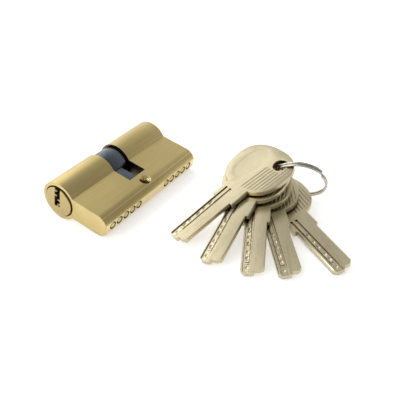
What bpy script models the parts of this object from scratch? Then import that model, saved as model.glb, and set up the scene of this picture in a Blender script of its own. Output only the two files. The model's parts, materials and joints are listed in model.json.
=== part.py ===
"""Double euro-profile lock cylinder with its five dimple keys on a split ring, lying on a flat surface.

Units are metres. +Z is up, +Y runs along the cylinder, +X is the way its flange points. The cylinder is
modelled in a bench frame (see below) under one empty, and every key about its own eyelet.

Bench frame of the cylinder: +Z along the plug axis from the front face to the rear face, +X from the
plug axis towards the end of the flange, +Y across the flange.
"""

import math

import bmesh
import bpy
from mathutils import Matrix, Vector

MM = 0.001

# Housing: the standard euro profile, 33 mm tall, 17 mm round, 10 mm flange, with a 10 mm cam gap.
LENGTH = 60 * MM
BARREL_R = 8.5 * MM
FLANGE_HALF = 5 * MM
FLANGE_END = 24.5 * MM
FLANGE_ROUND_X = 19.917 * MM
FLANGE_ROUND_R = 5 * MM
CAM_GAP = 10 * MM
GAP_FLOOR = 15.6 * MM
SCREW_HOLE_X = 19.8 * MM
SCREW_HOLE_R = 2.15 * MM

# Plugs, turned, with a head that sits in a counterbore and a circlip at the inner end.
PLUG_R = 6.1 * MM
PLUG_HEAD_R = 6.6 * MM
PLUG_PROUD = 0.8 * MM
PLUG_HEAD_END = 1.2 * MM
PLUG_TAIL_END = 27.3 * MM
GROOVE_R = 5.3 * MM
GROOVE_START = 25.25 * MM
GROOVE_END = 25.95 * MM
BORE_R = 6.3 * MM
COUNTERBORE_R = 7.0 * MM
COUNTERBORE_DEPTH = 1.5 * MM
KEYWAY_FLOOR = 2.5 * MM
KEYWAY_NEAR = -1.7 * MM
KEYWAY_FAR = 1.1 * MM

# Pin stacks: five to a plug, at one pitch, in chambers that run out to the flange end.
PIN_COUNT = 5
FIRST_PIN = 4.2 * MM
PIN_PITCH = 4.1 * MM
CHAMBER_R = 1.5 * MM
TIP_HOLE_R = 0.8 * MM
CHAMBER_STEP = 2.6 * MM
PIN_R = 1.25 * MM
PIN_TIP_R = 0.55 * MM
PIN_BODY_START = 4.0 * MM
SHEAR_INSIDE = 5.85 * MM
SHEAR_OUTSIDE = 6.4 * MM
DRIVER_LENGTH = 4.0 * MM
BITTING = (0.2 * MM, 0.6 * MM, 0.0, 0.8 * MM, 0.4 * MM)
SPRING_START = 10.9 * MM
SPRING_END = 22.6 * MM
SPRING_COIL_R = 1.0 * MM
SPRING_WIRE_R = 0.17 * MM
CAP_START = 23.2 * MM
CAP_END = 24.45 * MM
CAP_R = 1.32 * MM

# Cam and clutch, in the gap between the plugs.
CAM_START = 25.3 * MM
CAM_END = 34.0 * MM
CAM_R = 7.7 * MM
CAM_BORE_R = 6.4 * MM
CAM_RECESS_R = 7.2 * MM
CAM_RECESS_END = 26.35 * MM
BIT_REACH = 15.1 * MM
BIT_HALF = 3.7 * MM
BIT_END = 30.4 * MM
EAR_SLOT_HALF = 1.25 * MM
EAR_HALF = 1.0 * MM
EAR_REACH = 6.8 * MM
CLUTCH_R = 5.9 * MM
CLUTCH_THICK = 0.7 * MM
CLUTCH_FRONT = 27.6 * MM
CLUTCH_REAR = 30.6 * MM
LUG_HALF = 1.05 * MM
LUG_REACH = 5.4 * MM
LUG_LENGTH = 1.3 * MM
TAIL_SLOT_HALF = 1.3 * MM
TAIL_SLOT_START = 26.1 * MM
CIRCLIP_START = 25.36 * MM
CIRCLIP_THICK = 0.48 * MM
CIRCLIP_R = 6.9 * MM
CIRCLIP_BORE_R = 5.5 * MM
CIRCLIP_OPENING = math.radians(70)

# Keys: rounded bow, short wide neck, long blade; the eyelet is near one corner of the bow.
KEY_THICK = 2.2 * MM
KEY_TIP = 52.1 * MM
KEY_AXIS_Y = -6.6 * MM
BOW_BACK = 11.5 * MM
BOW_FRONT = 14.5 * MM
BOW_HALF = 13.9 * MM
BOW_TO_TIP = 47.5 * MM
BOW_POWER = 2.4
NECK_HALF = 5.6 * MM
NECK_TO_TIP = 25.0 * MM
BLADE_HALF = 4.4 * MM
TIP_CHAMFER = 1.4 * MM
EYELET_LONG = 3.1 * MM
EYELET_SHORT = 2.9 * MM
GROOVE_OFFSETS = (0.95 * MM, 3.25 * MM)
GROOVE_HALF = 0.35 * MM
GROOVE_DEPTH = 0.55 * MM
GROOVE_RUN = 31.0 * MM

# Split ring: two turns of wire that lean back through the five eyelets.
RING_CENTRE = Vector((74.8, 64.5, 11.3)) * MM
RING_R = 10.8 * MM
RING_WIRE_R = 0.5 * MM
RING_LEAN = math.radians(66)
RING_HEADING = math.radians(287.2)
RING_STEP = 1.08 * MM

# How the keys lie: eyelet height, heading, fall towards the tip, and roll, from the top key down.
KEY_LAY = (
    (17.6 * MM, -105.5, 17.15, 2.5),
    (13.75 * MM, -82.0, 12.4, 7.6),
    (10.40 * MM, -63.0, 8.5, 8.9),
    (6.90 * MM, -49.0, 4.9, 7.3),
    (3.95 * MM, -29.8, 1.6, 7.1),
)

# The middle of the part's footprint, which becomes the origin.
MIDDLE = Vector((50.94, 35.34, 0)) * MM
ROUND_STEPS = 36
PIN_STEPS = 12


def clear_scene():
    for obj in list(bpy.data.objects):
        bpy.data.objects.remove(obj, do_unlink=True)


def collection(name):
    made = bpy.data.collections.new(name)
    bpy.context.scene.collection.children.link(made)
    return made


def material(name, colour, roughness):
    made = bpy.data.materials.new(name)
    made.use_nodes = True
    shader = made.node_tree.nodes["Principled BSDF"]
    shader.inputs["Base Color"].default_value = (*colour, 1)
    shader.inputs["Roughness"].default_value = roughness
    shader.inputs["Metallic"].default_value = 1.0
    return made


clear_scene()
PARTS = collection("euro_cylinder_with_keys")
CUTTERS = collection("cutters")
BRASS = material("satin_brass", (0.55, 0.43, 0.20), 0.35)
FACE_BRASS = material("plug_brass", (0.72, 0.60, 0.32), 0.32)
STEEL = material("cam_steel", (0.14, 0.17, 0.22), 0.35)
SPRING_STEEL = material("spring_steel", (0.55, 0.55, 0.56), 0.3)
NICKEL = material("key_nickel", (0.70, 0.64, 0.48), 0.33)
RING_NICKEL = material("ring_nickel", (0.75, 0.72, 0.62), 0.18)


def empty(name, parent=None):
    made = bpy.data.objects.new(name, None)
    PARTS.objects.link(made)
    made.parent = parent
    return made


ORIGIN = empty("part_origin")
ORIGIN.location = -MIDDLE
BENCH = empty("cylinder_axis", ORIGIN)
BENCH.location = (0, 0, BARREL_R)
TILT = math.asin((BARREL_R - FLANGE_ROUND_R) / FLANGE_ROUND_X)
BENCH.rotation_euler = (-math.pi / 2, TILT, 0)


def add(name, data, look, parent=BENCH):
    """A sub-part, or a cutter when it has no look."""
    made = bpy.data.objects.new(name, data)
    made.parent = parent
    if look is None:
        CUTTERS.objects.link(made)
        made.hide_render = True
        made.display_type = "WIRE"
    else:
        PARTS.objects.link(made)
        made.data.materials.append(look)
    return made


def meshed(obj):
    """Replaces a curve, or an object with modifiers, with its plain mesh."""
    bpy.context.view_layer.update()
    graph = bpy.context.evaluated_depsgraph_get()
    mesh = bpy.data.meshes.new_from_object(obj.evaluated_get(graph))
    work = bmesh.new()
    work.from_mesh(mesh)
    bmesh.ops.remove_doubles(work, verts=work.verts, dist=0.000001)
    bmesh.ops.recalc_face_normals(work, faces=work.faces)
    work.to_mesh(mesh)
    work.free()
    made = bpy.data.objects.new(obj.name, mesh)
    for home in obj.users_collection:
        home.objects.link(made)
    made.parent = obj.parent
    made.matrix_world = obj.matrix_world
    made.hide_render = obj.hide_render
    made.display_type = obj.display_type
    name = obj.name
    bpy.data.objects.remove(obj, do_unlink=True)
    made.name = name
    return made


def extruded(name, outline, low, high, look, parent=BENCH):
    """A flat outline in XY, raised from low to high along Z."""
    curve = bpy.data.curves.new(name, "CURVE")
    curve.dimensions = "2D"
    curve.fill_mode = "BOTH"
    curve.extrude = (high - low) / 2
    spline = curve.splines.new("POLY")
    spline.points.add(len(outline) - 1)
    for point, (x, y) in zip(spline.points, outline):
        point.co = (x, y, 0, 1)
    spline.use_cyclic_u = True
    made = add(name, curve, look, parent)
    made.location = (0, 0, (low + high) / 2)
    return meshed(made)


def turned(name, profile, look, steps=ROUND_STEPS, parent=BENCH):
    """A profile of (radius, height), top to bottom down its outer side, turned about Z."""
    mesh = bpy.data.meshes.new(name)
    mesh.from_pydata([(r, 0, z) for r, z in profile], [(i, i + 1) for i in range(len(profile) - 1)], [])
    made = add(name, mesh, look, parent)
    screw = made.modifiers.new("turn", "SCREW")
    screw.steps = screw.render_steps = steps
    screw.use_merge_vertices = True
    screw.merge_threshold = 0.000001
    screw.use_smooth_shade = True
    return made


def cylinder_profile(radius, low, high):
    return [(0, high), (radius, high), (radius, low), (0, low)]


def box(name, low, high, look=None, parent=BENCH):
    mesh = bpy.data.meshes.new(name)
    work = bmesh.new()
    bmesh.ops.create_cube(work, size=1)
    size = [b - a for a, b in zip(low, high)]
    centre = [(a + b) / 2 for a, b in zip(low, high)]
    bmesh.ops.transform(work, matrix=Matrix.LocRotScale(centre, None, size), verts=work.verts)
    work.to_mesh(mesh)
    work.free()
    return add(name, mesh, look, parent)


def gathered(name, source, places, look=None, parent=BENCH):
    """One mesh with a copy of source at each place. The source goes."""
    source = meshed(source)
    work = bmesh.new()
    for place in places:
        copy = source.data.copy()
        copy.transform(place)
        work.from_mesh(copy)
        bpy.data.meshes.remove(copy)
    mesh = bpy.data.meshes.new(name)
    work.to_mesh(mesh)
    work.free()
    bpy.data.objects.remove(source, do_unlink=True)
    return add(name, mesh, look, parent)


def boolean(target, cutter, operation="DIFFERENCE"):
    cut = target.modifiers.new(cutter.name, "BOOLEAN")
    cut.operation = operation
    cut.object = cutter
    cut.solver = "EXACT"
    return target


def smooth(obj, degrees=35):
    obj.data.shade_smooth()
    obj.data.set_sharp_from_angle(angle=math.radians(degrees))


def arc(centre_x, centre_y, radius, start, end, steps):
    """Points on an arc, both ends included. Angles in radians."""
    turns = [start + (end - start) * i / steps for i in range(steps + 1)]
    return [(centre_x + radius * math.cos(a), centre_y + radius * math.sin(a)) for a in turns]


def coil(name, radius, wire, low, high, turns, look, per_turn=5, parent=BENCH):
    """A round-wire compression spring along Z."""
    curve = bpy.data.curves.new(name, "CURVE")
    curve.dimensions = "3D"
    curve.bevel_depth = wire
    curve.bevel_resolution = 1
    curve.use_fill_caps = True
    spline = curve.splines.new("POLY")
    count = int(turns * per_turn)
    spline.points.add(count)
    for i, point in enumerate(spline.points):
        angle = 2 * math.pi * i / per_turn
        height = low + (high - low) * i / count
        point.co = (radius * math.cos(angle), radius * math.sin(angle), height, 1)
    return add(name, curve, look, parent)


ALONG_X = Matrix.Rotation(math.pi / 2, 4, "Y")
ALONG_Y = Matrix.Rotation(-math.pi / 2, 4, "X")


def pin_heights():
    return [FIRST_PIN + PIN_PITCH * i for i in range(PIN_COUNT)]


def make_housing():
    junction = math.asin(FLANGE_HALF / BARREL_R)
    strip = math.acos((FLANGE_END - FLANGE_ROUND_X) / FLANGE_ROUND_R)
    outline = arc(0, 0, BARREL_R, junction, 2 * math.pi - junction, ROUND_STEPS)
    outline += arc(FLANGE_ROUND_X, 0, FLANGE_ROUND_R, -math.pi / 2, -strip, 6)
    outline += arc(FLANGE_ROUND_X, 0, FLANGE_ROUND_R, strip, math.pi / 2, 6)
    housing = extruded("housing", outline, 0, LENGTH, BRASS)
    rear_step = LENGTH - COUNTERBORE_DEPTH
    past = 1 * MM
    bore = turned(
        "bore_cutter",
        [
            (0, LENGTH + past),
            (COUNTERBORE_R, LENGTH + past),
            (COUNTERBORE_R, rear_step),
            (BORE_R, rear_step),
            (BORE_R, COUNTERBORE_DEPTH),
            (COUNTERBORE_R, COUNTERBORE_DEPTH),
            (COUNTERBORE_R, -past),
            (0, -past),
        ],
        None,
    )
    middle = LENGTH / 2
    gap = box(
        "cam_gap_cutter",
        (-BARREL_R - past, -BARREL_R - past, middle - CAM_GAP / 2),
        (GAP_FLOOR, BARREL_R + past, middle + CAM_GAP / 2),
    )
    drill = turned("chamber_drill", cylinder_profile(CHAMBER_R, 5.0 * MM, 25.5 * MM), None, PIN_STEPS)
    heights = pin_heights() + [LENGTH - z for z in pin_heights()]
    chambers = gathered(
        "chamber_cutter", drill, [Matrix.Translation((0, 0, z)) @ ALONG_X for z in heights]
    )
    screw_drill = turned("screw_drill", cylinder_profile(SCREW_HOLE_R, -7 * MM, 7 * MM), None, 24)
    screw_hole = gathered(
        "screw_hole_cutter", screw_drill, [Matrix.Translation((SCREW_HOLE_X, 0, middle)) @ ALONG_Y]
    )
    for cutter in (bore, gap, chambers, screw_hole):
        boolean(housing, cutter)
    smooth(housing, 20)


def keyway_outline():
    """The warded slot: a floor with a lip, two wards from each side, open at the rim of the plug."""
    near, far, floor = KEYWAY_NEAR, KEYWAY_FAR, KEYWAY_FLOOR
    ward = 1.25 * MM
    root, crest = 0.42 * MM, 0.2 * MM
    outline = [(near, floor), (-0.6 * MM, floor), (-0.35 * MM, 1.8 * MM), (0.9 * MM, floor)]
    for height in (1.15 * MM, -1.15 * MM):
        outline += [(far, height + root), (far - ward, height + crest)]
        outline += [(far - ward, height - crest), (far, height - root)]
    rim = -8 * MM
    outline += [(far, rim), (near, rim)]
    for height in (-5.35 * MM, -3.05 * MM):
        outline += [(near, height - root), (near + ward, height - crest)]
        outline += [(near + ward, height + crest), (near, height + root)]
    return outline


def make_plug(side):
    """The rear plug is the front one turned half round about the flange direction."""
    plug = turned(
        side + "_plug",
        [
            (0, PLUG_TAIL_END),
            (PLUG_R, PLUG_TAIL_END),
            (PLUG_R, GROOVE_END),
            (GROOVE_R, GROOVE_END),
            (GROOVE_R, GROOVE_START),
            (PLUG_R, GROOVE_START),
            (PLUG_R, PLUG_HEAD_END),
            (PLUG_HEAD_R, PLUG_HEAD_END),
            (PLUG_HEAD_R, 0.4 * MM - PLUG_PROUD),
            (PLUG_HEAD_R - 0.4 * MM, -PLUG_PROUD),
            (0, -PLUG_PROUD),
        ],
        FACE_BRASS,
    )
    half = HALVES[side]
    plug.parent = half
    keyway = extruded(side + "_keyway_cutter", keyway_outline(), -2 * MM, 29 * MM, None, half)
    slot = box(
        side + "_tail_slot_cutter",
        (-7 * MM, -TAIL_SLOT_HALF, TAIL_SLOT_START),
        (7 * MM, TAIL_SLOT_HALF, PLUG_TAIL_END + 0.5 * MM),
        None,
        half,
    )
    drill = turned(
        side + "_pin_drill",
        [
            (0, 7 * MM),
            (CHAMBER_R, 7 * MM),
            (CHAMBER_R, CHAMBER_STEP),
            (TIP_HOLE_R, CHAMBER_STEP),
            (TIP_HOLE_R, 0.7 * MM),
            (0, 0.7 * MM),
        ],
        None,
        PIN_STEPS,
    )
    places = [Matrix.Translation((0, 0, z)) @ ALONG_X for z in pin_heights()]
    pin_holes = gathered(side + "_pin_hole_cutter", drill, places, None, half)
    for cutter in (keyway, slot, pin_holes):
        boolean(plug, cutter)
    smooth(plug, 30)


def make_circlip(side):
    opening = CIRCLIP_OPENING / 2
    outline = arc(0, 0, CIRCLIP_R, opening, 2 * math.pi - opening, 28)
    outline += arc(0, 0, CIRCLIP_BORE_R, 2 * math.pi - opening, opening, 28)
    high = CIRCLIP_START + CIRCLIP_THICK
    extruded(side + "_circlip", outline, CIRCLIP_START, high, SPRING_STEEL, HALVES[side])


def make_pin_stack(side, number):
    """Key pin, driver pin, spring and cap of one chamber, in the empty that carries the stack."""
    stack = empty(f"{side}_stack_{number}", HALVES[side])
    stack.location = (0, 0, pin_heights()[number - 1])
    stack.rotation_euler = (0, math.pi / 2, 0)
    tip = BITTING[number - 1]
    turned(
        f"{side}_key_pin_{number}",
        [
            (0, SHEAR_INSIDE),
            (PIN_R - 0.2 * MM, SHEAR_INSIDE),
            (PIN_R, SHEAR_INSIDE - 0.2 * MM),
            (PIN_R, PIN_BODY_START),
            (PIN_TIP_R, PIN_BODY_START - 0.3 * MM),
            (PIN_TIP_R, tip + 0.3 * MM),
            (0, tip),
        ],
        FACE_BRASS,
        PIN_STEPS,
        stack,
    )
    driver_end = SHEAR_OUTSIDE + DRIVER_LENGTH
    turned(
        f"{side}_driver_pin_{number}",
        [
            (0, driver_end),
            (PIN_R, driver_end),
            (PIN_R, SHEAR_OUTSIDE + 0.2 * MM),
            (PIN_R - 0.2 * MM, SHEAR_OUTSIDE),
            (0, SHEAR_OUTSIDE),
        ],
        SPRING_STEEL,
        PIN_STEPS,
        stack,
    )
    coil(
        f"{side}_pin_spring_{number}",
        SPRING_COIL_R,
        SPRING_WIRE_R,
        SPRING_START,
        SPRING_END,
        5,
        SPRING_STEEL,
        parent=stack,
    )
    turned(
        f"{side}_chamber_cap_{number}",
        [
            (0, CAP_END),
            (CAP_R - 0.25 * MM, CAP_END),
            (CAP_R, CAP_END - 0.25 * MM),
            (CAP_R, CAP_START),
            (0, CAP_START),
        ],
        FACE_BRASS,
        16,
        stack,
    )


def make_cam():
    """A steel ring with the bit that throws the bolt, and two slots inside for the clutch ears."""
    cam = turned(
        "cam",
        [
            (CAM_BORE_R, CAM_END),
            (CAM_R - 0.3 * MM, CAM_END),
            (CAM_R, CAM_END - 0.3 * MM),
            (CAM_R, CAM_START + 0.3 * MM),
            (CAM_R - 0.3 * MM, CAM_START),
            (CAM_RECESS_R, CAM_START),
            (CAM_RECESS_R, CAM_RECESS_END),
            (CAM_BORE_R, CAM_RECESS_END),
            (CAM_BORE_R, CAM_END),
        ],
        STEEL,
    )
    reach = math.asin(BIT_HALF / BIT_REACH)
    root = CAM_R - 0.35 * MM
    root_turn = math.asin(BIT_HALF / root)
    outline = arc(0, 0, BIT_REACH, -reach, reach, 8)
    outline += arc(0, 0, root, root_turn, -root_turn, 6)
    bit = extruded("bit_shape", outline, CAM_START, BIT_END, None)
    slots = box(
        "ear_slot_cutter",
        (-EAR_SLOT_HALF, -CAM_RECESS_R + 0.1 * MM, CAM_RECESS_END - 0.1 * MM),
        (EAR_SLOT_HALF, CAM_RECESS_R - 0.1 * MM, CAM_END - 0.9 * MM),
    )
    boolean(cam, bit, "UNION")
    boolean(cam, slots)
    smooth(cam, 30)


def make_clutch(name, start, lug_low, lug_high):
    disc = turned(name, cylinder_profile(CLUTCH_R, start, start + CLUTCH_THICK), STEEL, 32)
    ears = box(name + "_ears", (-EAR_HALF, -EAR_REACH, start), (EAR_HALF, EAR_REACH, start + CLUTCH_THICK))
    lug = box(name + "_lug", (-LUG_REACH, -LUG_HALF, lug_low), (LUG_REACH, LUG_HALF, lug_high))
    boolean(disc, ears, "UNION")
    boolean(disc, lug, "UNION")


def ring_axes():
    along = Vector((-math.sin(RING_HEADING), math.cos(RING_HEADING), 0))
    flat = math.cos(RING_LEAN)
    rise = Vector((math.cos(RING_HEADING) * flat, math.sin(RING_HEADING) * flat, math.sin(RING_LEAN)))
    return along, rise, along.cross(rise)


def ring_point(angle, offset=0.0):
    along, rise, axis = ring_axes()
    spoke = along * math.cos(angle) + rise * math.sin(angle)
    return RING_CENTRE + spoke * RING_R + axis * offset


def ring_at_height(height):
    """The point of the ring's keys side that is this high."""
    lift = (height - RING_CENTRE.z) / (RING_R * math.sin(RING_LEAN))
    return ring_point(math.pi - math.asin(lift))


def make_ring():
    """Two close turns, whose ends lie side by side near the top."""
    per_turn, start = 28, math.radians(40)
    curve = bpy.data.curves.new("split_ring", "CURVE")
    curve.dimensions = "3D"
    curve.bevel_depth = RING_WIRE_R
    curve.bevel_resolution = 2
    curve.use_fill_caps = True
    spline = curve.splines.new("POLY")
    spline.points.add(2 * per_turn)
    for i, point in enumerate(spline.points):
        turn = i / per_turn
        place = ring_point(start + 2 * math.pi * turn, RING_STEP * (turn - 1))
        point.co = (*place, 1)
    add("split_ring", curve, RING_NICKEL, ORIGIN)


def bow_arc(length, start, end, steps):
    """Part of the bow's rounded-square outline, about the middle of the bow."""
    points = []
    for i in range(steps + 1):
        turn = start + (end - start) * i / steps
        c, s = math.cos(turn), math.sin(turn)
        points.append(
            (
                math.copysign(abs(c) ** (2 / BOW_POWER), c) * length,
                math.copysign(abs(s) ** (2 / BOW_POWER), s) * BOW_HALF,
            )
        )
    return points


def key_outline():
    """Half of the outline, from the back of the bow to the tip, then its mirror image."""
    bow_x = KEY_TIP - BOW_TO_TIP
    meet = math.asin((NECK_HALF / BOW_HALF) ** (BOW_POWER / 2))
    half = [(bow_x + x, y) for x, y in bow_arc(BOW_BACK, math.pi, math.pi / 2, 7)]
    half += [(bow_x + x, y) for x, y in bow_arc(BOW_FRONT, math.pi / 2, meet, 7)[1:]]
    half += [
        (KEY_TIP - NECK_TO_TIP, NECK_HALF),
        (KEY_TIP - NECK_TO_TIP, BLADE_HALF),
        (KEY_TIP - TIP_CHAMFER, BLADE_HALF),
        (KEY_TIP, BLADE_HALF - TIP_CHAMFER),
    ]
    other = [(x, -y) for x, y in reversed(half[1:])]
    return [(x, y + KEY_AXIS_Y) for x, y in half + other]


def groove_places():
    """The two milled grooves of the upper face, and the two of the lower face half round from them."""
    size = (GROOVE_RUN + 2 * MM, 2 * GROOVE_HALF, 2 * GROOVE_DEPTH)
    centre_x = KEY_TIP - GROOVE_RUN / 2 + 1 * MM
    for face in (1, -1):
        for offset in GROOVE_OFFSETS:
            place = (centre_x, KEY_AXIS_Y - face * offset, face * KEY_THICK / 2)
            yield Matrix.LocRotScale(place, None, size)


def make_key(number, height, heading, fall, roll):
    carrier = empty(f"key_{number}_eyelet", ORIGIN)
    carrier.location = ring_at_height(height)
    carrier.rotation_euler = (math.radians(roll), math.radians(fall), math.radians(heading))
    name = f"key_{number}"
    key = extruded(name, key_outline(), -KEY_THICK / 2, KEY_THICK / 2, NICKEL, carrier)
    eyelet = [(x * EYELET_LONG / EYELET_SHORT, y) for x, y in arc(0, 0, EYELET_SHORT, 0, 2 * math.pi, 20)[:-1]]
    hole = extruded(name + "_eyelet_cutter", eyelet, -2 * KEY_THICK, 2 * KEY_THICK, None, carrier)
    unit = box(name + "_unit", (-0.5, -0.5, -0.5), (0.5, 0.5, 0.5), None, carrier)
    grooves = gathered(name + "_groove_cutter", unit, list(groove_places()), None, carrier)
    boolean(key, hole)
    boolean(key, grooves)


make_housing()
HALVES = {side: empty(side + "_half", BENCH) for side in ("front", "rear")}
HALVES["rear"].location = (0, 0, LENGTH)
HALVES["rear"].rotation_euler = (math.pi, 0, 0)
for side in HALVES:
    make_plug(side)
    make_circlip(side)
    for number in range(1, PIN_COUNT + 1):
        make_pin_stack(side, number)
make_cam()
make_clutch("clutch_front", CLUTCH_FRONT, CLUTCH_FRONT - LUG_LENGTH, CLUTCH_FRONT + CLUTCH_THICK / 2)
rear_face = CLUTCH_REAR + CLUTCH_THICK
make_clutch("clutch_rear", CLUTCH_REAR, rear_face - CLUTCH_THICK / 2, rear_face + LUG_LENGTH - 0.2 * MM)
coil("clutch_spring", 3.5 * MM, 0.25 * MM, 28.65 * MM, 30.25 * MM, 2, SPRING_STEEL, per_turn=14)
make_ring()
for number, lay in enumerate(KEY_LAY, start=1):
    make_key(number, *lay)
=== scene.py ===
"""Looks of the euro-profile lock cylinder and its keys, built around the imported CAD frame.

Shapes are drawn in millimetres, in the bench frame of the cylinder (+Z along the plug axis, +X towards
the end of the flange) or in a key's own frame (+X towards the tip, +Z out of its upper face, origin in
the middle of its eyelet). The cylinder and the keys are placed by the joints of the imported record, and the
split ring by its own centre and lean.
"""

import json
import math

import bmesh
import bpy
import numpy as np
from mathutils import Matrix, Vector

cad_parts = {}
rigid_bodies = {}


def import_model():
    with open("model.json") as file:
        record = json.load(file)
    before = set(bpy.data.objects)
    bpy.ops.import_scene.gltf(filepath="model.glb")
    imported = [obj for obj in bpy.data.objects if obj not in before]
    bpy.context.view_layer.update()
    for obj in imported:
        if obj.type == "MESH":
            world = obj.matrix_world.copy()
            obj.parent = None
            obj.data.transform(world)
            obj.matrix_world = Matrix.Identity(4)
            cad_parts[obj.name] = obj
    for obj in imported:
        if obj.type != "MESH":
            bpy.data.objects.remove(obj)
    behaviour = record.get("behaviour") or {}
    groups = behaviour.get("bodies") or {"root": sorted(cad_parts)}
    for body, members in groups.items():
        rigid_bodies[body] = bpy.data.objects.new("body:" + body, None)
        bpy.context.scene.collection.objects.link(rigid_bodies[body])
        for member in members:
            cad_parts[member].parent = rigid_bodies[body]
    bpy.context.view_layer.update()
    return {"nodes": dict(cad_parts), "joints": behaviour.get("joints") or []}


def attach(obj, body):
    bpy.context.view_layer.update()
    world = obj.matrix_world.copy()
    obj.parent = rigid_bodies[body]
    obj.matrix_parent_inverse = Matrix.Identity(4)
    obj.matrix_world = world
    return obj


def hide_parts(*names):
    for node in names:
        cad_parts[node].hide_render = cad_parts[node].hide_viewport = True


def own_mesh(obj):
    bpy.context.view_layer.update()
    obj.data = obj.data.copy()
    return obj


for startup_object in list(bpy.data.objects):
    bpy.data.objects.remove(startup_object, do_unlink=True)
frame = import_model()

MM = 0.001
JOINTS = {joint["name"]: joint for joint in frame["joints"]}
SIDES = ("front", "rear")
STACKS = range(1, 6)
KEYS = range(1, 6)

# Housing
LENGTH = 60.0
BARREL_R = 8.494
FLANGE_HALF = 5.0
FLANGE_END = 24.5
FLANGE_ROUND_X = 19.917
FLANGE_ROUND_R = 5.0
EDGE = 0.2
CAM_GAP = 10.0
GAP_FLOOR = 15.6
SCREW_X = 19.8
SCREW_ROOT_R = 2.42
SCREW_CREST_R = 2.05
SCREW_PITCH = 0.8
SCREW_MOUTH = 0.35
LIT_THREAD = 2.6
BORE_R = 6.3
COUNTERBORE_R = 7.0
COUNTERBORE_DEPTH = 1.5
BORE_MOUTH = 0.16

# Plugs and pin stacks
PLUG_R = 6.1
PLUG_HEAD_R = 6.6
PLUG_PROUD = 0.8
PLUG_HEAD_END = 1.2
PLUG_TAIL_END = 27.3
GROOVE_R = 5.3
GROOVE_START = 25.25
GROOVE_END = 25.95
TAIL_SLOT_HALF = 1.3
TAIL_SLOT_START = 26.1
KEYWAY_NEAR = -1.7
KEYWAY_FAR = 1.1
KEYWAY_FLOOR = 2.5
KEYWAY_RIM = -8.0
WARD_REACH = 1.25
WARD_FOOT = 0.42
WARD_TOP = 0.2
FAR_WARDS = (1.15, -1.15)
NEAR_WARDS = (-5.35, -3.05)
FIRST_PIN = 4.2
PIN_PITCH = 4.1
CHAMBER_R = 1.5
CHAMBER_STEP = 2.6
TIP_HOLE_R = 0.8
MOUTH_R = 1.8
MOUTH_DEPTH = 0.3
CAP_R = 1.32
CAP_START = 23.2
SPRING_TURNS = 7
SPRING_START = 10.92
SPRING_END = 22.58
SPRING_COIL_R = 1.0
SPRING_WIRE_R = 0.16
SPRING_END_ROOM = 0.17

# Cam
CAM_START = 25.3
CAM_END = 34.0
CAM_R = 7.7
CAM_BORE_R = 6.4
CAM_RECESS_R = 7.2
CAM_RECESS_END = 26.35
BIT_REACH = 15.1
BIT_ROOT = 7.35
BIT_HALF = 3.7
BIT_END = 30.4
EAR_SLOT_HALF = 1.25
EAR_SLOT_REACH = 7.1
EAR_SLOT_START = 26.25
EAR_SLOT_END = 33.1

# Keys
KEY_THICK = 2.2
KEY_TIP = 52.1
KEY_AXIS = -6.6
BOW_BACK = 11.5
BOW_FRONT = 14.5
BOW_HALF = 13.9
BOW_TO_TIP = 47.5
BOW_POWER = 2.4
NECK_HALF = 5.6
NECK_TO_TIP = 25.0
BLADE_HALF = 4.4
TIP_CHAMFER = 1.4
TRACK_RUN = 31.0
TRACK_OFFSETS = (0.95, 3.25)
TRACK_HALF = 0.56
TRACK_SLOPE = 0.26
TRACK_DEPTH = 0.52
MIDDLE_DEPTH = 0.14
TROUGH_RUN = 4.4
TROUGH_DEPTH = 0.42
DIMPLE_RUN = 21.5
DIMPLES = ((2.4, 0.6), (6.6, 0.42), (9.6, 0.34), (13.9, 0.45), (17.1, 0.3), (20.6, 0.4))
RIBS = 7
RIB_FIRST = 1.7
RIB_LEAN = 0.09
RIB_PITCH = 1.55
RIB_SLOT_TOP = 0.42
RIB_SLOT_FOOT = 0.12
RIB_SLOT_DEPTH = 0.16
RIB_CLEAR_ACROSS = 3.6
RIB_CLEAR_ALONG = 4.0
PANEL_LONG = 9.4
PANEL_SHORT = 5.0
PANEL_ROUNDNESS = 0.75
EYELET_LONG = 3.18
EYELET_SHORT = 2.98
EYELET_FLARE = 0.14
EYELET_FLARE_DEPTH = 0.18
EYELET_WALL_REACH = 3.25
RIM_CHAMFER = 0.45
NOTCH_FLOOR = 0.72

# Split ring
RING_R = 10.77
RING_WIRE_R = 0.475
RING_WIRE_ROUNDNESS = 0.92
RING_STEP = 1.08
RING_START = math.radians(40)
RING_LEAN = math.radians(66)
RING_HEADING = math.radians(287.2)
RING_CENTRE = Vector((23.86, 29.16, 11.3))


# Shapes: every solid is a loft through rings of points, all with the same count.


def arc(centre_x, centre_y, radius, start, end, steps):
    """Points on an arc, both ends included. Angles in radians."""
    turns = [start + (end - start) * i / steps for i in range(steps + 1)]
    return [(centre_x + radius * math.cos(a), centre_y + radius * math.sin(a)) for a in turns]


def circle(steps):
    """Points on a circle of radius 1, anticlockwise."""
    return arc(0, 0, 1, 0, math.tau, steps)[:-1]


def rounded_square(turn, roundness, along, across):
    """A point on a rounded square. Roundness 1 makes it an ellipse, and less makes it squarer."""
    c, s = math.cos(turn), math.sin(turn)
    return math.copysign(abs(c) ** roundness, c) * along, math.copysign(abs(s) ** roundness, s) * across


def inset(outline, amount):
    """The outline moved inwards by amount. It runs anticlockwise."""
    moved = []
    count = len(outline)
    for i, point in enumerate(outline):
        here = Vector(point)
        before = (here - Vector(outline[i - 1])).normalized()
        after = (Vector(outline[(i + 1) % count]) - here).normalized()
        inwards = Vector((-before.y - after.y, before.x + after.x))
        scale = max(inwards.length_squared, 0.6)
        moved.append(tuple(here + inwards * (2 * amount / scale)))
    return moved


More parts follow.
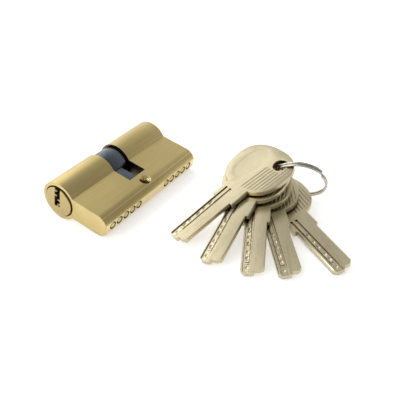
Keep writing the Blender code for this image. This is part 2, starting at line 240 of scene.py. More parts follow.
def loft(rings, around=False):
    """A closed bmesh through rings of points. It is capped at both ends or, when it goes around, its
    last ring of points joins its first."""
    work = bmesh.new()
    rows = [[work.verts.new(point) for point in ring] for ring in rings]
    count = len(rows[0])
    following = rows[1:] + rows[:1] if around else rows[1:]
    for low, high in zip(rows, following):
        for i in range(count):
            j = (i + 1) % count
            work.faces.new((low[i], low[j], high[j], high[i]))
    if not around:
        work.faces.new(reversed(rows[0]))
        work.faces.new(rows[-1])
    bmesh.ops.recalc_face_normals(work, faces=work.faces)
    return work


def prism(outline, low, high, edge=0.0, rounds=2):
    """An outline in XY raised along Z, with its two end edges rounded off."""
    levels = [(low, edge)] if edge else []
    if edge:
        for i in range(1, rounds):
            turn = math.pi / 2 * i / rounds
            levels.append((low + edge * (1 - math.cos(turn)), edge * (1 - math.sin(turn))))
    levels.append((low + edge, 0.0))
    levels += [(low + high - level, amount) for level, amount in reversed(levels)]
    rings = []
    for level, amount in levels:
        shape = inset(outline, amount) if amount else outline
        rings.append([(x, y, level) for x, y in shape])
    return loft(rings)


def spun(profile, steps):
    """The ring of points that each (radius, height) of a profile makes about Z."""
    return [[(r * c, r * s, z) for c, s in circle(steps)] for r, z in profile]


def turned(profile, steps):
    """A profile of (radius, height) from one end cap to the other, turned about Z."""
    return loft(spun(profile, steps))


def block(low, high):
    (x0, y0, z0), (x1, y1, z1) = low, high
    return prism([(x0, y0), (x1, y0), (x1, y1), (x0, y1)], z0, z1)


def placed(work, matrix):
    work.transform(matrix)
    return work


def joined(works):
    """One bmesh of several. The sources go."""
    whole = bmesh.new()
    for work in works:
        mesh = bpy.data.meshes.new("part")
        work.to_mesh(mesh)
        work.free()
        whole.from_mesh(mesh)
        bpy.data.meshes.remove(mesh)
    return whole


def solid(name, work, matrix, look):
    """A piece drawn in millimetres, placed by a matrix in metres."""
    bmesh.ops.scale(work, vec=(MM, MM, MM), verts=work.verts)
    mesh = bpy.data.meshes.new(name)
    work.to_mesh(mesh)
    work.free()
    piece = bpy.data.objects.new(name, mesh)
    bpy.context.scene.collection.objects.link(piece)
    piece.matrix_world = matrix
    if look is not None:
        mesh.materials.append(look)
    return piece


def carve(piece, cutters, operation="DIFFERENCE"):
    """Cuts each cutter out of the piece, or joins it on, and drops the cutters."""
    tools = []
    for i, work in enumerate(cutters):
        tools.append(solid(f"{piece.name}_tool_{i}", work, piece.matrix_world, None))
    for tool in tools:
        cut = piece.modifiers.new(tool.name, "BOOLEAN")
        cut.operation = operation
        cut.object = tool
        cut.solver = "EXACT"
    bpy.context.view_layer.update()
    graph = bpy.context.evaluated_depsgraph_get()
    mesh = bpy.data.meshes.new_from_object(piece.evaluated_get(graph))
    piece.modifiers.clear()
    piece.data = mesh
    for tool in tools:
        bpy.data.objects.remove(tool, do_unlink=True)
    return piece


def smooth(piece, degrees=28):
    piece.data.shade_smooth()
    piece.data.set_sharp_from_angle(angle=math.radians(degrees))
    return piece


def settle(piece):
    """Moves the mesh itself into the world, and keeps where each point was drawn for the materials."""
    mesh = piece.data
    places = np.empty(len(mesh.vertices) * 3, np.float32)
    mesh.vertices.foreach_get("co", places)
    mesh.attributes.new("drawn", "FLOAT_VECTOR", "POINT").data.foreach_set("vector", places)
    mesh.transform(piece.matrix_world)
    piece.matrix_world = Matrix.Identity(4)


def finish_piece(piece, body, slot, *nodes):
    settle(piece)
    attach(piece, body)
    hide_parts(*nodes)
    return piece


# Frames


def bench_frame():
    """The cylinder's bench frame, from the plug's hinge and the direction that its pins slide in."""
    turn = JOINTS["front_plug_turn"]
    x = Vector(JOINTS["front_key_pin_1_slide"]["axis"]).normalized()
    z = Vector(turn["axis"]).normalized()
    y = z.cross(x)
    matrix = Matrix((x, y, z)).transposed().to_4x4()
    matrix.translation = Vector(turn["pos_m"])
    return matrix


def key_frame(number):
    """A key's own frame. The corner of its tip is its farthest point from the eyelet."""
    swing = JOINTS[f"key_{number}_swing"]
    eyelet = Vector(swing["pos_m"])
    z = Vector(swing["axis"]).normalized()
    points = [vertex.co - eyelet for vertex in frame["nodes"][f"key_{number}"].data.vertices]
    corner = max(points, key=lambda point: point.length)
    corner -= z * corner.dot(z)
    across = KEY_AXIS - (BLADE_HALF - TIP_CHAMFER)
    x = Matrix.Rotation(-math.atan2(across, KEY_TIP), 3, z) @ corner.normalized()
    matrix = Matrix((x, z.cross(x), z)).transposed().to_4x4()
    matrix.translation = eyelet
    return matrix


BENCH = bench_frame()
REAR = BENCH @ Matrix.Translation((0, 0, LENGTH * MM)) @ Matrix.Rotation(math.pi, 4, "X")
HALVES = {"front": BENCH, "rear": REAR}
ALONG_X = Matrix.Rotation(math.pi / 2, 4, "Y")
ALONG_Y = Matrix.Rotation(-math.pi / 2, 4, "X")


# Materials


# How far the painted shade of recesses reaches, in millimetres.
CREVICE_REACH = 1.3
FINE_SHARE = 0.6
LATHE_DEPTH = 0.004
WAVE_RATE = 20  # a wave texture of scale 1 repeats every tau / 20


def metal(name, colour, shade, roughness, grain, tone=60.0, depth=0.05, rings=0.0, crevices=0.3, drawn=True):
    """Metal with a grain. colour and shade are the light and dark tones of its grain, grain is how often the
    grain changes per metre along x, y and z, tone is the same for its broad patches, and rings adds
    lathe marks about Z at that pitch in millimetres. Its colour carries painted shade, darker in
    recesses and near other surfaces, and crevices is the share of its colour that the deepest recess
    keeps. A piece made here carries where each of its points was drawn, and a
    carried-over CAD node, which doesn't, has drawn off."""
    look = bpy.data.materials.new(name)
    look.use_nodes = True
    tree = look.node_tree
    shader = tree.nodes["Principled BSDF"]
    shader.inputs["Metallic"].default_value = 1.0

    def node(kind, **values):
        made = tree.nodes.new(kind)
        for key, value in values.items():
            if isinstance(value, (int, float, tuple)) and key in made.inputs:
                made.inputs[key].default_value = value
            else:
                setattr(made, key, value)
        return made

    def link(source, output, target, socket):
        tree.links.new(source.outputs[output], target.inputs[socket])

    if drawn:
        place = node("ShaderNodeAttribute", attribute_name="drawn")
    else:
        place = node("ShaderNodeTexCoord")
    where = "Vector" if drawn else "Object"
    stretch = node("ShaderNodeMapping")
    stretch.inputs["Scale"].default_value = grain
    link(place, where, stretch, "Vector")
    fine = node("ShaderNodeTexNoise", Scale=1.0, Detail=5.0, Roughness=0.65)
    link(stretch, "Vector", fine, "Vector")
    broad = node("ShaderNodeTexNoise", Scale=tone, Detail=3.0, Roughness=0.5)
    link(place, where, broad, "Vector")
    blend = node("ShaderNodeMath", operation="MULTIPLY_ADD")
    blend.inputs[1].default_value = FINE_SHARE
    link(fine, "Fac", blend, 0)
    share = node("ShaderNodeMath", operation="MULTIPLY")
    share.inputs[1].default_value = 1 - FINE_SHARE
    link(broad, "Fac", share, 0)
    link(share, "Value", blend, 2)
    ramp = node("ShaderNodeValToRGB")
    ramp.color_ramp.elements[0].position = 0.36
    ramp.color_ramp.elements[0].color = (*shade, 1)
    ramp.color_ramp.elements[1].position = 0.64
    ramp.color_ramp.elements[1].color = (*colour, 1)
    link(blend, "Value", ramp, "Fac")
    # Painted shade: ambient occlusion darkens the base colour in recesses and near other surfaces.
    crevice = node("ShaderNodeAmbientOcclusion", Distance=CREVICE_REACH * MM, samples=8)
    painted_shade = node("ShaderNodeMapRange")
    painted_shade.inputs["From Min"].default_value = 0.3
    painted_shade.inputs["From Max"].default_value = 0.85
    painted_shade.inputs["To Min"].default_value = crevices
    painted_shade.inputs["To Max"].default_value = 1.0
    link(crevice, "AO", painted_shade, "Value")
    dim = node("ShaderNodeVectorMath", operation="SCALE")
    link(ramp, "Color", dim, 0)
    link(painted_shade, "Result", dim, "Scale")
    link(dim, "Vector", shader, "Base Color")
    polish = node("ShaderNodeMapRange")
    polish.inputs["From Min"].default_value = 0.3
    polish.inputs["From Max"].default_value = 0.7
    polish.inputs["To Min"].default_value = roughness + 0.06
    polish.inputs["To Max"].default_value = roughness - 0.05
    link(blend, "Value", polish, "Value")
    link(polish, "Result", shader, "Roughness")
    bump = node("ShaderNodeBump")
    bump.inputs["Distance"].default_value = depth * MM
    bump.inputs["Strength"].default_value = 0.5
    link(fine, "Fac", bump, "Height")
    last = bump
    if rings:
        lathe = node("ShaderNodeTexWave", wave_type="RINGS", rings_direction="Z")
        lathe.inputs["Scale"].default_value = math.tau / (WAVE_RATE * rings * MM)
        lathe.inputs["Distortion"].default_value = 0.3
        link(place, where, lathe, "Vector")
        last = node("ShaderNodeBump")
        last.inputs["Distance"].default_value = LATHE_DEPTH * MM
        last.inputs["Strength"].default_value = 0.6
        link(lathe, "Fac", last, "Height")
        link(bump, "Normal", last, "Normal")
    link(last, "Normal", shader, "Normal")
    return look


BRASS = metal("brushed_brass", (0.59, 0.47, 0.21), (0.49, 0.385, 0.16), 0.38, (2600, 2600, 40))
END_BRASS = metal("sawn_brass", (0.70, 0.575, 0.28), (0.54, 0.43, 0.185), 0.5, (2200, 2200, 2200), depth=0.09)
FACE_BRASS = metal(
    "turned_brass", (0.53, 0.42, 0.20), (0.42, 0.325, 0.14),
    0.36, (900, 900, 300), rings=0.9425,
)
CAP_BRASS = metal("cap_brass", (0.72, 0.60, 0.32), (0.56, 0.45, 0.22), 0.3, (3000, 3000, 3000), crevices=0.1)
# Painted highlight: a brighter, glossier copy of the brass for the thread near the mouths of the screw hole.
THREAD_HIGHLIGHT_BRASS = metal(
    "thread_painted_highlight", (0.86, 0.70, 0.36), (0.74, 0.58, 0.26),
    0.14, (900, 900, 900), crevices=0.35,
)
# Painted highlight: a brighter, glossier copy of the brass for the flat strip at the flange end.
STRIP_HIGHLIGHT_BRASS = metal("strip_painted_highlight", (0.86, 0.72, 0.40), (0.72, 0.58, 0.30), 0.22, (2600, 2600, 60))
# Painted shade: a near-black copy of the brass for the deep thread, the cam gap and the chamber mouths.
SHADED_BRASS = metal(
    "brass_painted_shade", (0.20, 0.16, 0.08), (0.09, 0.07, 0.035),
    0.25, (1500, 1500, 1500), crevices=0.1,
)
CAM_STEEL = metal("blued_steel", (0.15, 0.17, 0.195), (0.07, 0.082, 0.105), 0.26, (1800, 1800, 1800))
CUT_NICKEL = metal(
    "milled_nickel", (0.74, 0.66, 0.46), (0.40, 0.34, 0.22),
    0.15, (1500, 1500, 1500), crevices=0.1,
)
NICKEL = metal(
    "satin_nickel", (0.61, 0.54, 0.365), (0.50, 0.44, 0.285),
    0.33, (500, 3200, 3200), crevices=0.22,
)
# Painted shade: a near-black copy of the nickel for the eyelet's wall, where the hole through the stacked
# keys is dark.
SHADED_NICKEL = metal(
    "eyelet_painted_shade", (0.16, 0.14, 0.10), (0.08, 0.07, 0.05),
    0.35, (1500, 1500, 1500), crevices=0.2,
)
RING_WIRE = metal(
    "bright_nickel", (0.66, 0.63, 0.54), (0.42, 0.39, 0.32),
    0.18, (900, 900, 900), depth=0.02, crevices=0.12,
)
CLUTCH_STEEL = metal(
    "clutch_steel", (0.30, 0.31, 0.33), (0.20, 0.21, 0.23),
    0.38, (2500, 2500, 2500), drawn=False,
)
SPRING_STEEL = metal(
    "drawn_wire", (0.56, 0.56, 0.57), (0.42, 0.42, 0.43),
    0.26, (4000, 4000, 4000), drawn=False,
)
SPRING_WIRE = metal("spring_wire", (0.56, 0.56, 0.57), (0.42, 0.42, 0.43), 0.26, (4000, 4000, 4000))
PIN_BRASS = metal("pin_brass", (0.66, 0.52, 0.24), (0.52, 0.40, 0.17), 0.30, (3000, 3000, 3000), drawn=False)


# Cylinder


def housing_outline():
    junction = math.asin(FLANGE_HALF / BARREL_R)
    strip = math.acos((FLANGE_END - FLANGE_ROUND_X) / FLANGE_ROUND_R)
    outline = arc(0, 0, BARREL_R, junction, math.tau - junction, 140)
    outline += arc(FLANGE_ROUND_X, 0, FLANGE_ROUND_R, -math.pi / 2, -strip, 20)
    outline += arc(FLANGE_ROUND_X, 0, FLANGE_ROUND_R, strip, math.pi / 2, 20)
    return outline


def screw_thread(steps=40, per_pitch=8):
    """A tapped hole as a cutter about Z, with countersunk mouths."""
    span = FLANGE_HALF + 0.6
    rows = int(2 * span / SCREW_PITCH * per_pitch)
    rings = []
    for row in range(rows + 1):
        z = -span + 2 * span * row / rows
        mouth = max(0.0, abs(z) - (FLANGE_HALF - SCREW_MOUTH))
        ring = []
        for i in range(steps):
            turn = i / steps
            wave = abs(((z / SCREW_PITCH - turn) % 1.0) * 2 - 1)
            radius = SCREW_CREST_R + (SCREW_ROOT_R - SCREW_CREST_R) * wave
            radius = max(radius, SCREW_ROOT_R - 0.1 + mouth) if mouth else radius
            ring.append((radius * math.cos(math.tau * turn), radius * math.sin(math.tau * turn), z))
        rings.append(ring)
    return loft(rings)


def pin_height(number):
    """How far a pin stack is from the face of its own half."""
    return FIRST_PIN + PIN_PITCH * (number - 1)


def on_pin_axis(work, height):
    """Lays a shape that was drawn about Z along the axis of a pin stack."""
    return placed(work, Matrix.Translation((0, 0, height)) @ ALONG_X)


def pin_heights():
    near = [pin_height(number) for number in STACKS]
    return near + [LENGTH - z for z in near]


HOUSING_LOOKS = [BRASS, END_BRASS, THREAD_HIGHLIGHT_BRASS, SHADED_BRASS, STRIP_HIGHLIGHT_BRASS]


def housing_look(face):
    """The metal of one face of the housing, from where it is and which way it faces. The thread near the
    hole's mouths and the flat strip at the flange end get a painted highlight, and the deeper thread, the
    cam gap and the chamber mouths get painted shade.
    """
    x, y, z = face.center / MM
    normal = face.normal
    from_middle = abs(z - LENGTH / 2)
    from_pin = min(abs(z - height) for height in pin_heights())
    on_end = min(z, LENGTH - z) < 0.01 and abs(normal.z) > 0.99
    in_thread = math.hypot(x - SCREW_X, from_middle) < SCREW_ROOT_R + 0.2 and abs(normal.y) < 0.9
    in_gap = from_middle < CAM_GAP / 2 + 0.01 and x < GAP_FLOOR + 0.01
    near_mouth = math.hypot(y, from_pin) < MOUTH_R + 0.1
    in_mouth = near_mouth and x > FLANGE_END - 0.4 and abs(normal.x) < 0.98
    if on_end:
        return END_BRASS
    # Painted highlight on the thread near the mouths of the hole.
    if in_thread and abs(y) > LIT_THREAD:
        return THREAD_HIGHLIGHT_BRASS
    # Painted shade in the deeper thread, the cam gap and the chamber mouths.
    if in_thread or in_gap or in_mouth:
        return SHADED_BRASS
    # Painted highlight on the flat strip at the flange end.
    if normal.x > 0.995 and x > FLANGE_END - 0.05:
        return STRIP_HIGHLIGHT_BRASS
    return BRASS


def make_housing():
    housing = solid("housing_shell", prism(housing_outline(), 0, LENGTH, EDGE, 3), BENCH, BRASS)
    near_half = [
        (COUNTERBORE_R + 0.5, -1.0),
        (COUNTERBORE_R + BORE_MOUTH, 0.0),
        (COUNTERBORE_R, BORE_MOUTH),
        (COUNTERBORE_R, COUNTERBORE_DEPTH),
        (BORE_R, COUNTERBORE_DEPTH),
    ]
    bore = near_half + [(radius, LENGTH - z) for radius, z in reversed(near_half)]
    middle = LENGTH / 2
    gap = block((-12, -12, middle - CAM_GAP / 2), (GAP_FLOOR, 12, middle + CAM_GAP / 2))
    chamber = [
        (CHAMBER_R, 5.0),
        (CHAMBER_R, FLANGE_END - MOUTH_DEPTH),
        (MOUTH_R, FLANGE_END),
        (MOUTH_R + 0.5, FLANGE_END + 0.5),
    ]
    chambers = [on_pin_axis(turned(chamber, 32), height) for height in pin_heights()]
    thread = placed(screw_thread(), Matrix.Translation((SCREW_X, 0, middle)) @ ALONG_Y)
    carve(housing, [turned(bore, 120), gap, joined(chambers), thread])
    for look in HOUSING_LOOKS[1:]:
        housing.data.materials.append(look)
    for face in housing.data.polygons:
        face.material_index = HOUSING_LOOKS.index(housing_look(face))
    finish_piece(smooth(housing), "housing", "satin_brass", "housing")


def ward(wall, crest, middle, way):
    """The four corners of a ward between a wall of the keyway and its crest. Way is 1 to list them
    upwards and -1 to list them downwards."""
    foot, top = WARD_FOOT * way, WARD_TOP * way
    return [(wall, middle - foot), (crest, middle - top), (crest, middle + top), (wall, middle + foot)]


def keyway_outline():
    """The warded slot: a floor with a lip, two wards from each side, open at the rim of the plug."""
    near, far, floor, rim = KEYWAY_NEAR, KEYWAY_FAR, KEYWAY_FLOOR, KEYWAY_RIM
    outline = [(near, floor), (-0.6, floor), (-0.35, 1.8), (0.9, floor)]
    for middle in FAR_WARDS:
        outline += ward(far, far - WARD_REACH, middle, -1)
    outline += [(far, rim), (near, rim)]
    for middle in NEAR_WARDS:
        outline += ward(near, near + WARD_REACH, middle, 1)
    return outline


def make_plug(side):
    head = [
        (PLUG_HEAD_R - 0.42, -PLUG_PROUD),
        (PLUG_HEAD_R - 0.25, -PLUG_PROUD + 0.03),
        (PLUG_HEAD_R - 0.1, -PLUG_PROUD + 0.12),
        (PLUG_HEAD_R, -PLUG_PROUD + 0.3),
        (PLUG_HEAD_R, PLUG_HEAD_END),
        (PLUG_R, PLUG_HEAD_END),
    ]
    body = [(PLUG_R, GROOVE_START), (GROOVE_R, GROOVE_START), (GROOVE_R, GROOVE_END), (PLUG_R, GROOVE_END)]
    tail = [(PLUG_R, PLUG_TAIL_END - 0.15), (PLUG_R - 0.15, PLUG_TAIL_END)]
    profile = head + body + tail
    plug = solid(side + "_plug_turned", turned(profile, 120), HALVES[side], FACE_BRASS)
    hole = [(TIP_HOLE_R, 0.7), (TIP_HOLE_R, CHAMBER_STEP), (CHAMBER_R, CHAMBER_STEP), (CHAMBER_R, 7.0)]
    holes = [on_pin_axis(turned(hole, 24), pin_height(number)) for number in STACKS]
    keyway = prism(keyway_outline()[::-1], -2, 29)
    slot = block((-7, -TAIL_SLOT_HALF, TAIL_SLOT_START), (7, TAIL_SLOT_HALF, 28))
    carve(plug, [keyway, slot, joined(holes)])
    finish_piece(smooth(plug), side + "_plug", "plug_brass", side + "_plug")


def make_cap(side, number):
    """The chamber's brass plug, a little dished, with a bevelled rim."""
    rim = [(CAP_R, CAP_START), (CAP_R, 24.0), (1.12, 24.38), (0.95, 24.42)]
    dish = [(0.75, 24.36), (0.4, 24.26), (0.1, 24.24)]
    shape = on_pin_axis(turned(rim + dish, 40), pin_height(number))
    cap = solid(f"{side}_cap_{number}", shape, HALVES[side], CAP_BRASS)
    finish_piece(smooth(cap), "housing", "plug_brass", f"{side}_chamber_cap_{number}")


def make_spring(side, number, per_turn=20):
    """A round-wire spring, its turns closer together at the ends."""
    start = SPRING_START + SPRING_END_ROOM
    rise = SPRING_END - SPRING_START - 2 * SPRING_END_ROOM
    rings = []
    for i in range(SPRING_TURNS * per_turn + 1):
        share = i / (SPRING_TURNS * per_turn)
        share -= 0.09 * math.sin(math.tau * share)
        angle = math.tau * i / per_turn
        out = Vector((math.cos(angle), math.sin(angle), 0))
        middle = out * SPRING_COIL_R + Vector((0, 0, start + rise * share))
        ring = []
        for j in range(8):
            turn = math.tau * j / 8
            c, s = SPRING_WIRE_R * math.cos(turn), SPRING_WIRE_R * math.sin(turn)
            ring.append(tuple(middle + out * c + Vector((0, 0, s))))
        rings.append(ring)
    half = HALVES[side]
    shape = on_pin_axis(loft(rings), pin_height(number))
    spring = solid(f"{side}_pin_coil_{number}", shape, half, SPRING_WIRE)
    finish_piece(smooth(spring, 60), "housing", "spring_steel", f"{side}_pin_spring_{number}")
    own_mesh(spring)


def make_cam():
    ring = [
        (CAM_BORE_R, CAM_END),
        (CAM_R - 0.3, CAM_END),
        (CAM_R - 0.1, CAM_END - 0.1),
        (CAM_R, CAM_END - 0.3),
        (CAM_R, CAM_START + 0.3),
        (CAM_R - 0.1, CAM_START + 0.1),
        (CAM_R - 0.3, CAM_START),
        (CAM_RECESS_R, CAM_START),
        (CAM_RECESS_R, CAM_RECESS_END),
        (CAM_BORE_R, CAM_RECESS_END),
    ]
    cam = solid("cam_body", loft(spun(ring, 120), around=True), BENCH, CAM_STEEL)
    turn, root_turn = math.asin(BIT_HALF / BIT_REACH), math.asin(BIT_HALF / BIT_ROOT)
    outline = arc(0, 0, BIT_REACH, -turn, turn, 24) + arc(0, 0, BIT_ROOT, root_turn, -root_turn, 12)
    carve(cam, [prism(outline, CAM_START, BIT_END, 0.3, 3)], "UNION")
    slot_low = (-EAR_SLOT_HALF, -EAR_SLOT_REACH, EAR_SLOT_START)
    carve(cam, [block(slot_low, (EAR_SLOT_HALF, EAR_SLOT_REACH, EAR_SLOT_END))])
    finish_piece(smooth(cam), "cam", "cam_steel", "cam")


# Keys and ring


def bow_arc(length, start, end, steps):
    """Part of the bow's rounded-square outline, about the middle of the bow."""
    points = []
    for i in range(steps + 1):
        turn = start + (end - start) * i / steps
        points.append(rounded_square(turn, 2 / BOW_POWER, length, BOW_HALF))
    return points


def bow_share(across):
    """How much of the bow's length is left at this distance from the blade's axis."""
    return (1 - (across / BOW_HALF) ** BOW_POWER) ** (1 / BOW_POWER)


def key_outline():
    """The key from above, about its blade's axis, anticlockwise."""
    bow_x = KEY_TIP - BOW_TO_TIP
    meet = math.asin((NECK_HALF / BOW_HALF) ** (BOW_POWER / 2))
    half = [(bow_x + x, y) for x, y in bow_arc(BOW_BACK, math.pi, math.pi / 2, 26)]
    half += [(bow_x + x, y) for x, y in bow_arc(BOW_FRONT, math.pi / 2, meet, 22)[1:]]
    shoulder = KEY_TIP - NECK_TO_TIP
    half += [(shoulder - 0.3, NECK_HALF), (shoulder, NECK_HALF - 0.3), (shoulder, BLADE_HALF)]
    half += [(KEY_TIP - TIP_CHAMFER, BLADE_HALF), (KEY_TIP, BLADE_HALF - TIP_CHAMFER)]
    other = [(x, -y) for x, y in reversed(half[1:])]
    return [(x, y + KEY_AXIS) for x, y in half + other][::-1]


def clamped(value):
    return min(1.0, max(0.0, value))


def track_depth(back, across):
    """How deep the milled track is, back from the tip and across from the blade's axis: two straight
    grooves, a rib between them with conical dimples, and a trough at the tip."""
    depth = 0.0
    for offset in TRACK_OFFSETS:
        depth = max(depth, TRACK_DEPTH * clamped((TRACK_HALF - abs(across - offset)) / TRACK_SLOPE))
    centre = sum(TRACK_OFFSETS) / 2
    if TRACK_OFFSETS[0] < across < TRACK_OFFSETS[1]:
        depth = max(depth, TROUGH_DEPTH * clamped((TROUGH_RUN - back) / 0.5))
        depth = max(depth, MIDDLE_DEPTH * clamped((DIMPLE_RUN - back) / 1.5))
        for place, pit in DIMPLES:
            reach = math.hypot((back - place) * 0.75, across - centre)
            depth = max(depth, pit * clamped(1.4 - reach / 0.75))
    return depth


def track_cutter():
    """The track of the upper face, as a cutter whose floor follows track_depth."""
    face = KEY_THICK / 2
    rows = 200
    columns = [0.45 + 0.1 * i for i in range(33)]
    rings = []
    for row in range(rows + 1):
        back = TRACK_RUN - (TRACK_RUN + 1) * row / rows
        floor = [(KEY_TIP - back, KEY_AXIS - a, face - track_depth(back, a) + 0.004) for a in columns]
        sky = [(KEY_TIP - back, KEY_AXIS - a, face + 0.4) for a in (columns[-1], columns[0])]
        rings.append(floor + sky)
    return loft(rings)


def rib_cutters():
    """Parallel slots with sloping sides in the bow's upper face, which leave ribs between them. Those
    in line with the eyelet stop short of it."""
    face = KEY_THICK / 2
    bow_x = KEY_TIP - BOW_TO_TIP
    cutters = []
    for i in range(RIBS):
        across = RIB_FIRST + RIB_PITCH * i
        end = bow_x + (BOW_FRONT - 1.3) * bow_share(across)
        at_eyelet = across + RIB_LEAN * end
        start = bow_x - (BOW_BACK - 1.2) * bow_share(min(at_eyelet + 0.6, 13.4))
        if abs(at_eyelet + KEY_AXIS) < RIB_CLEAR_ACROSS:
            start = RIB_CLEAR_ALONG
        corners = [(start, -1), (end, -1), (end, 1), (start, 1)]
        lean = [KEY_AXIS + across + RIB_LEAN * (end - x) for x, y in corners]
        levels = []
        for half, level in ((RIB_SLOT_FOOT, -RIB_SLOT_DEPTH), (RIB_SLOT_TOP, 0.05)):
            levels.append([(x, middle + y * half, face + level) for (x, y), middle in zip(corners, lean)])
        cutters.append(loft(levels))
    return cutters


def panel_cutter():
    """The shallow sunk panel of the bow, with sloping sides."""
    face = KEY_THICK / 2
    steps = 72
    rings = []
    for wide, level in ((0.25, 0.05), (0.0, 0.0), (-0.6, -0.09), (-0.9, -0.1)):
        ring = []
        for i in range(steps):
            turn = math.tau * i / steps
            x, y = rounded_square(turn, PANEL_ROUNDNESS, PANEL_LONG + wide, PANEL_SHORT + wide)
            ring.append((KEY_TIP - BOW_TO_TIP + 1.0 + x, KEY_AXIS - 4.7 + y, face + level))
        rings.append(ring)
    return loft(rings)


def notch_cutter():
    """The cross-cut behind the tip, over the track."""
    low = (KEY_TIP - 4.9, KEY_AXIS - 3.7, NOTCH_FLOOR)
    return block(low, (KEY_TIP - 3.9, KEY_AXIS - 0.5, 2.0))


def rim_cutter():
    """The chamfer along the outer edge of the track half."""
    face = KEY_THICK / 2
    edge = KEY_AXIS - BLADE_HALF
    out, up = 0.5, 0.4
    slope = [(edge - out, face - RIM_CHAMFER - out), (edge + RIM_CHAMFER + up, face + up)]
    shape = slope + [(edge - out, face + up)]
    ends = (KEY_TIP - NECK_TO_TIP + 0.02, KEY_TIP + 1)
    return loft([[(x, y, z) for y, z in shape] for x in ends])


def make_key_mesh():
    """One key. Its rim, track and notch are cut in the upper face and again, half round the blade, in
    the lower one. The bow's panel and ribs are in the upper face only."""
    half = KEY_THICK / 2
    key = solid("key_blank", prism(key_outline(), -half, half, 0.2, 3), Matrix.Identity(4), NICKEL)
    over = Matrix.Translation((0, KEY_AXIS, 0)) @ Matrix.Rotation(math.pi, 4, "X")
    over = over @ Matrix.Translation((0, -KEY_AXIS, 0))
    cutters = [panel_cutter()] + rib_cutters()
    for make in (rim_cutter, track_cutter, notch_cutter):
        cutters += [make(), placed(make(), over)]
    # The tip is cut back on the side away from the upper face's track.
    step = [
        (KEY_TIP - 1.0, KEY_AXIS + 0.7),
        (KEY_TIP + 1, KEY_AXIS - 0.7),
        (KEY_TIP + 1, KEY_AXIS + 6),
        (KEY_TIP - 2.4, KEY_AXIS + 6),
        (KEY_TIP - 2.4, KEY_AXIS + BLADE_HALF),
        (KEY_TIP - 1.0, KEY_AXIS + BLADE_HALF - 1.4),
    ]
    cutters.append(prism(step, -2, 2))
    eyelet = [(x * EYELET_LONG, y * EYELET_SHORT) for x, y in circle(56)]
    flare = [(x * (EYELET_LONG + EYELET_FLARE), y * (EYELET_SHORT + EYELET_FLARE)) for x, y in circle(56)]
    below = [(flare, -2), (flare, -half), (eyelet, -half + EYELET_FLARE_DEPTH)]
    levels = below + [(shape, -z) for shape, z in reversed(below)]
    cutters.append(loft([[(x, y, z) for x, y in shape] for shape, z in levels]))
    for cutter in cutters:
        carve(key, [cutter])
    smooth(key, 32)
    mesh = key.data
    looks = [NICKEL, CUT_NICKEL, SHADED_NICKEL]
    for look in looks[1:]:
        mesh.materials.append(look)
    for face in mesh.polygons:
        depth = half - abs(face.center.z / MM)
        milled = 0.015 < depth < 0.8 and abs(face.normal.z) > 0.1
        if milled and face.center.x / MM > KEY_TIP - TRACK_RUN - 0.5:
            face.material_index = looks.index(CUT_NICKEL)
        # Painted shade on the eyelet's wall.
        elif math.hypot(face.center.x, face.center.y) < EYELET_WALL_REACH * MM and abs(face.normal.z) < 0.3:
            face.material_index = looks.index(SHADED_NICKEL)
    bpy.data.objects.remove(key, do_unlink=True)
    return mesh


def make_key(number, mesh):
    key = bpy.data.objects.new(f"key_{number}_cut", mesh.copy())
    bpy.context.scene.collection.objects.link(key)
    key.matrix_world = key_frame(number)
    finish_piece(key, f"key_{number}", "key_nickel", f"key_{number}")


def make_ring(per_turn=96):
    """Two turns of nearly round wire side by side, thinner at the ends, in a plane at RING_LEAN to the
    floor."""
    ahead = Vector((math.cos(RING_HEADING), math.sin(RING_HEADING), 0))
    up = Vector((0, 0, 1))
    along = up.cross(ahead)
    rise = ahead * math.cos(RING_LEAN) + up * math.sin(RING_LEAN)
    axis = ahead * math.sin(RING_LEAN) - up * math.cos(RING_LEAN)
    matrix = Matrix((along, rise, axis)).transposed().to_4x4()
    matrix.translation = RING_CENTRE * MM
    rings = []
    for i in range(2 * per_turn + 1):
        turn = i / per_turn
        angle = RING_START + math.tau * turn
        out = Vector((math.cos(angle), math.sin(angle), 0))
        middle = out * RING_R + Vector((0, 0, RING_STEP * (turn - 1)))
        end = min(i, 2 * per_turn - i) / 5
        size = RING_WIRE_R * (0.75 + 0.25 * min(1.0, end))
        ring = []
        for j in range(16):
            flat, tall = rounded_square(math.tau * j / 16, RING_WIRE_ROUNDNESS, size, size)
            ring.append(tuple(middle + out * flat + Vector((0, 0, tall))))
        rings.append(ring)
    ring = solid("split_ring_wire", loft(rings), matrix, RING_WIRE)
    finish_piece(smooth(ring, 40), "key_ring", "ring_nickel", "split_ring")


# Carried-over nodes: the small inner pieces keep their CAD shape and get their own metal.


def dress(name, look):
    node = frame["nodes"][name]
    node.data.materials.clear()
    node.data.materials.append(look)


def dress_inner_pieces():
    for side in SIDES:
        dress(side + "_circlip", SPRING_STEEL)
        for number in STACKS:
            dress(f"{side}_key_pin_{number}", PIN_BRASS)
            dress(f"{side}_driver_pin_{number}", SPRING_STEEL)
    for name in ("clutch_front", "clutch_rear"):
        dress(name, CLUTCH_STEEL)
    dress("clutch_spring", SPRING_STEEL)


make_housing()
for side in SIDES:
    make_plug(side)
    for number in STACKS:
        make_cap(side, number)
        make_spring(side, number)
make_cam()
KEY_MESH = make_key_mesh()
for number in KEYS:
    make_key(number, KEY_MESH)
bpy.data.meshes.remove(KEY_MESH)
make_ring()
dress_inner_pieces()


# Stage, lights and camera, in metres

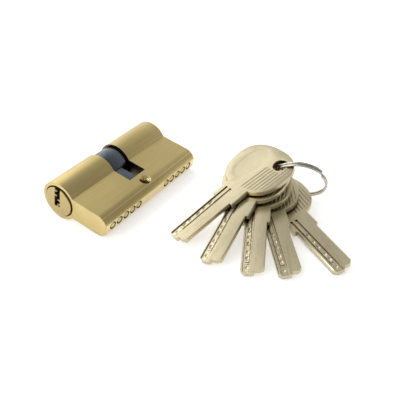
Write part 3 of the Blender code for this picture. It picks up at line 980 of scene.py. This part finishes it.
AZIMUTH = math.radians(33.425)
ELEVATION = math.radians(36.235)
ROLL = math.radians(0.509)
DISTANCE = 0.261
TARGET = Vector((-0.01113, 0.00671, 0))
LENS = 55.14
FLOOR_SIZE = 12
FLOOR_Z = -0.0001
FLOOR_GREY = 0.93
FLOOR_GLOW = 0.48
ROOM_LEVEL = 1.15
ROOM_ABOVE = 0.86
ROOM_ABOVE_AT = 0.58
ROOM_OVERHEAD = 0.5
ROOM_MIDDLE = 0.84
ROOM_RIGHT_LOSS = 0.5


def grey(level):
    return (level, level, level, 1)


def make_stage():
    mesh = bpy.data.meshes.new("floor")
    work = bmesh.new()
    bmesh.ops.create_grid(work, x_segments=1, y_segments=1, size=FLOOR_SIZE)
    work.to_mesh(mesh)
    work.free()
    floor = bpy.data.objects.new("floor", mesh)
    bpy.context.scene.collection.objects.link(floor)
    floor.location = (0, 0, FLOOR_Z)
    look = bpy.data.materials.new("pale_floor")
    look.use_nodes = True
    shader = look.node_tree.nodes["Principled BSDF"]
    shader.inputs["Base Color"].default_value = grey(FLOOR_GREY)
    shader.inputs["Roughness"].default_value = 0.9
    shader.inputs["Emission Color"].default_value = grey(1)
    shader.inputs["Emission Strength"].default_value = FLOOR_GLOW
    mesh.materials.append(look)


def area_light(name, place, size, power, colour=(1, 1, 1)):
    data = bpy.data.lights.new(name, "AREA")
    data.shape = "RECTANGLE"
    data.size, data.size_y = size
    data.energy = power
    data.color = colour
    light = bpy.data.objects.new(name, data)
    bpy.context.scene.collection.objects.link(light)
    light.location = place
    light.rotation_euler = (-Vector(place)).to_track_quat("-Z", "Y").to_euler()


def make_lights():
    """A white room that is bright at the level of the part and on its left, and dimmer overhead and
    on its right, with one softbox high on the left and one in front."""
    world = bpy.data.worlds.new("studio")
    bpy.context.scene.world = world
    world.use_nodes = True
    tree = world.node_tree
    sky = tree.nodes["Background"]
    place = tree.nodes.new("ShaderNodeTexCoord")
    split = tree.nodes.new("ShaderNodeSeparateXYZ")
    ramp = tree.nodes.new("ShaderNodeValToRGB")
    ramp.color_ramp.elements[0].color = grey(ROOM_LEVEL)
    ramp.color_ramp.elements[1].color = grey(ROOM_OVERHEAD)
    middle = ramp.color_ramp.elements.new(ROOM_ABOVE_AT)
    middle.color = grey(ROOM_ABOVE)
    side = tree.nodes.new("ShaderNodeMath")
    side.operation = "MULTIPLY_ADD"
    side.inputs[1].default_value = -ROOM_RIGHT_LOSS
    side.inputs[2].default_value = ROOM_MIDDLE
    tree.links.new(place.outputs["Generated"], split.inputs["Vector"])
    tree.links.new(split.outputs["Z"], ramp.inputs["Fac"])
    tree.links.new(split.outputs["X"], side.inputs[0])
    tree.links.new(ramp.outputs["Color"], sky.inputs["Color"])
    tree.links.new(side.outputs["Value"], sky.inputs["Strength"])
    area_light("left_softbox", (-0.6, 0.1, 0.45), (0.7, 0.7), 1.3)
    area_light("front_softbox", (-0.25, -0.7, 0.3), (0.5, 0.4), 1.6)


def make_camera():
    data = bpy.data.cameras.new("camera")
    data.lens = LENS
    data.sensor_width = 36
    data.clip_start = 0.01
    back = Vector(
        (
            math.sin(AZIMUTH) * math.cos(ELEVATION),
            -math.cos(AZIMUTH) * math.cos(ELEVATION),
            math.sin(ELEVATION),
        )
    )
    level = Vector((math.cos(AZIMUTH), math.sin(AZIMUTH), 0))
    upright = back.cross(level)
    right = level * math.cos(ROLL) + upright * math.sin(ROLL)
    matrix = Matrix((right, back.cross(right), back)).transposed().to_4x4()
    matrix.translation = TARGET + back * DISTANCE
    camera = bpy.data.objects.new("camera", data)
    bpy.context.scene.collection.objects.link(camera)
    camera.matrix_world = matrix
    bpy.context.scene.camera = camera


make_stage()
make_lights()
make_camera()
bpy.context.scene.view_settings.view_transform = "Standard"
